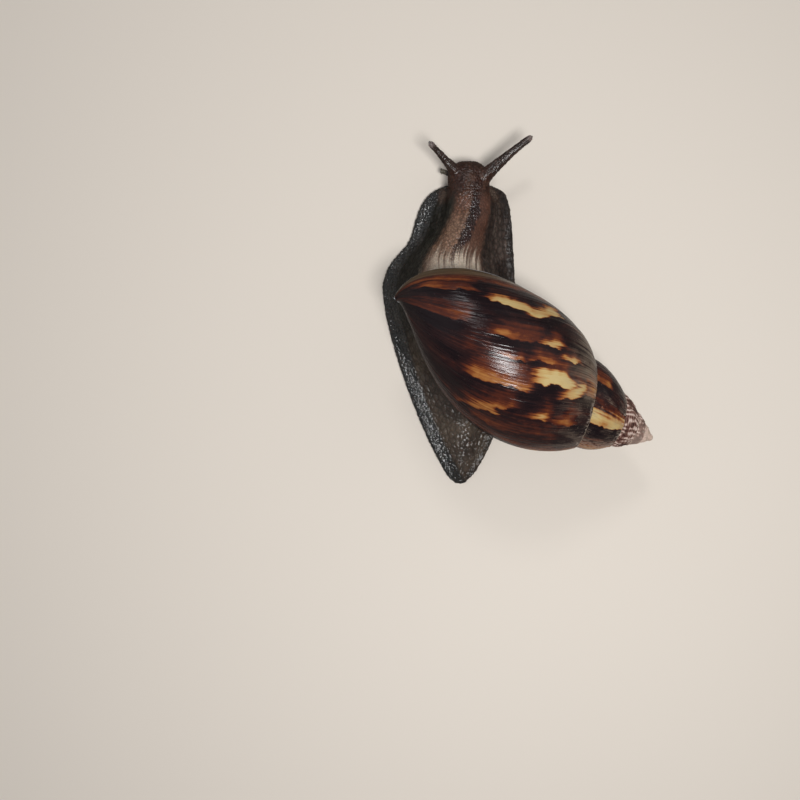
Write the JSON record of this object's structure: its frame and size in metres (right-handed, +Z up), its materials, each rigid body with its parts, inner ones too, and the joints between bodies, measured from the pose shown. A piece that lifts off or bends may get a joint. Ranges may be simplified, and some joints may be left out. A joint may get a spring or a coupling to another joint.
{
  "type": "giant african land snail",
  "caption": "Life-size still model of a giant African land snail crawling, its tall striped spiral shell slung across its back and its feelers out.",
  "frame": {"origin": "middle of the bottom of the bounding box, on the floor the foot rests on", "axes": "+Z up, +Y ahead, the way the snail crawls, +X to the snail's right, the side where the apex of the shell hangs"},
  "size_m": [0.0838, 0.11, 0.0498],
  "materials": {
    "shell": "dark purple-brown with ragged cream and ochre flames, glossy on the last whorl, matt and ribbed at the apex",
    "mantle": "smooth wet flesh",
    "skin": "wet dark brown skin with small raised grains",
    "foot": "wet grey-black skin, smooth flat sole",
    "head_skin": "wet brown skin with fine cross creases",
    "feeler_skin": "wet mauve-brown skin with fine grains",
    "lips": "soft wet skin",
    "eye": "wet black"
  },
  "bodies": {
    "root": {"shell": "shell", "mantle_collar": "mantle", "tail": "skin", "trunk": "skin", "neck": "skin", "foot": "foot", "head": "head_skin", "mouth": "lips", "upper_tentacle_left": "feeler_skin", "upper_tentacle_right": "feeler_skin", "lower_tentacle_left": "feeler_skin", "lower_tentacle_right": "feeler_skin", "eye_left": "eye", "eye_right": "eye"}
  },
  "joints": []
}
